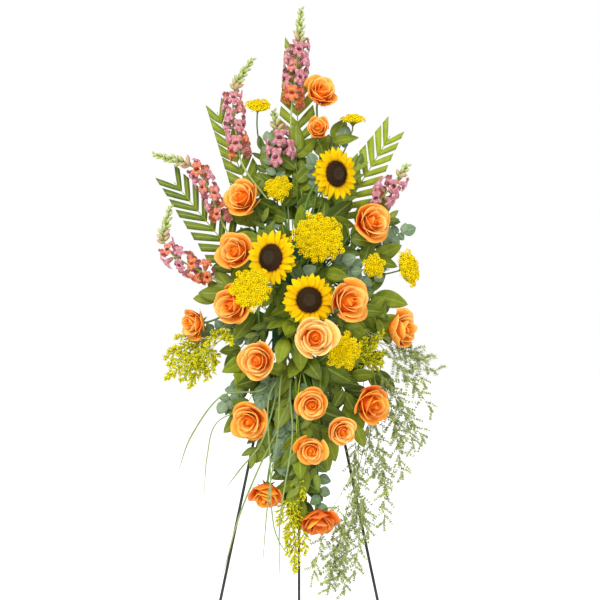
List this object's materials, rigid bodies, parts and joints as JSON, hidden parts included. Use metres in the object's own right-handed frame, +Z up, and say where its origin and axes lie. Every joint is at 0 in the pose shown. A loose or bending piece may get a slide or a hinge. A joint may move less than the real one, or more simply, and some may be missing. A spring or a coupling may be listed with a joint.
{
  "type": "standing funeral spray",
  "caption": "Standing spray of roses, sunflowers, yarrow, snapdragons and mixed foliage in a caged foam block, on a wire easel with a folding back leg.",
  "frame": {"origin": "on the floor, under the middle of the arrangement and its easel", "axes": "+Z up; the spray faces -Y; +X is the viewer's right"},
  "size_m": [0.6222, 0.6415, 1.7893],
  "materials": {
    "easel_wire_dark": "satin dark green-black paint",
    "cage_green_plastic": "matt",
    "foam_green": "matt, porous, wet",
    "rose_petal_orange": "soft petals, orange with paler edges",
    "sunflower_ray_yellow": "soft golden rays",
    "sunflower_disc_brown": "matt dark brown seed disc",
    "yarrow_yellow": "matt bright yellow florets",
    "snapdragon_pink": "soft pink and coral florets, green buds",
    "stem_and_leaf_green": "slightly glossy leaves",
    "palm_green": "glossy leaflets",
    "eucalyptus_grey_green": "matt, waxy bloom",
    "solidago_lime": "matt yellow-green plumes",
    "asparagus_fern_green": "matt, fine",
    "bear_grass_green": "slightly glossy blades"
  },
  "bodies": {
    "spray": {"asparagus_fern": "asparagus_fern_green", "bear_grass": "bear_grass_green", "easel_head": "easel_wire_dark", "easel_leg_left": "easel_wire_dark", "easel_leg_right": "easel_wire_dark", "eucalyptus_left": "eucalyptus_grey_green", "eucalyptus_right": "eucalyptus_grey_green", "foam_block": "foam_green", "foam_cage": "cage_green_plastic", "palm_left": "palm_green", "palm_right": "palm_green", "palm_top": "palm_green", "palm_upper_left": "palm_green", "rose_01": "rose_petal_orange", "rose_02": "rose_petal_orange", "rose_03": "rose_petal_orange", "rose_04": "rose_petal_orange", "rose_05": "rose_petal_orange", "rose_06": "rose_petal_orange", "rose_07": "rose_petal_orange", "rose_08": "rose_petal_orange", "rose_09": "rose_petal_orange", "rose_10": "rose_petal_orange", "rose_11": "rose_petal_orange", "rose_12": "rose_petal_orange", "rose_13": "rose_petal_orange", "rose_14": "rose_petal_orange", "rose_15": "rose_petal_orange", "rose_16": "rose_petal_orange", "rose_17": "rose_petal_orange", "rose_18": "rose_petal_orange", "snapdragon_1": "snapdragon_pink", "snapdragon_2": "snapdragon_pink", "snapdragon_3": "snapdragon_pink", "snapdragon_4": "snapdragon_pink", "snapdragon_5": "snapdragon_pink", "snapdragon_6": "snapdragon_pink", "solidago_left": "solidago_lime", "solidago_lower": "solidago_lime", "stems_centre": "stem_and_leaf_green", "stems_left": "stem_and_leaf_green", "stems_lower": "stem_and_leaf_green", "stems_top": "stem_and_leaf_green", "stems_upper_left": "stem_and_leaf_green", "stems_upper_right": "stem_and_leaf_green", "sunflower_1_disc": "sunflower_disc_brown", "sunflower_1_rays": "sunflower_ray_yellow", "sunflower_2_disc": "sunflower_disc_brown", "sunflower_2_rays": "sunflower_ray_yellow", "sunflower_3_disc": "sunflower_disc_brown", "sunflower_3_rays": "sunflower_ray_yellow", "yarrow_1": "yarrow_yellow", "yarrow_2": "yarrow_yellow", "yarrow_3": "yarrow_yellow", "yarrow_4": "yarrow_yellow", "yarrow_5": "yarrow_yellow", "yarrow_6": "yarrow_yellow", "yarrow_7": "yarrow_yellow", "yarrow_8": "yarrow_yellow"},
    "back_leg": {"easel_back_leg": "easel_wire_dark"}
  },
  "joints": [
    {"name": "back_leg_fold", "type": "hinge", "parent": "spray", "child": "back_leg", "pos_m": [0, 0.00679, 1.24365], "axis": [1, 0, 0], "range_deg": [-25.5, 0]}
  ]
}
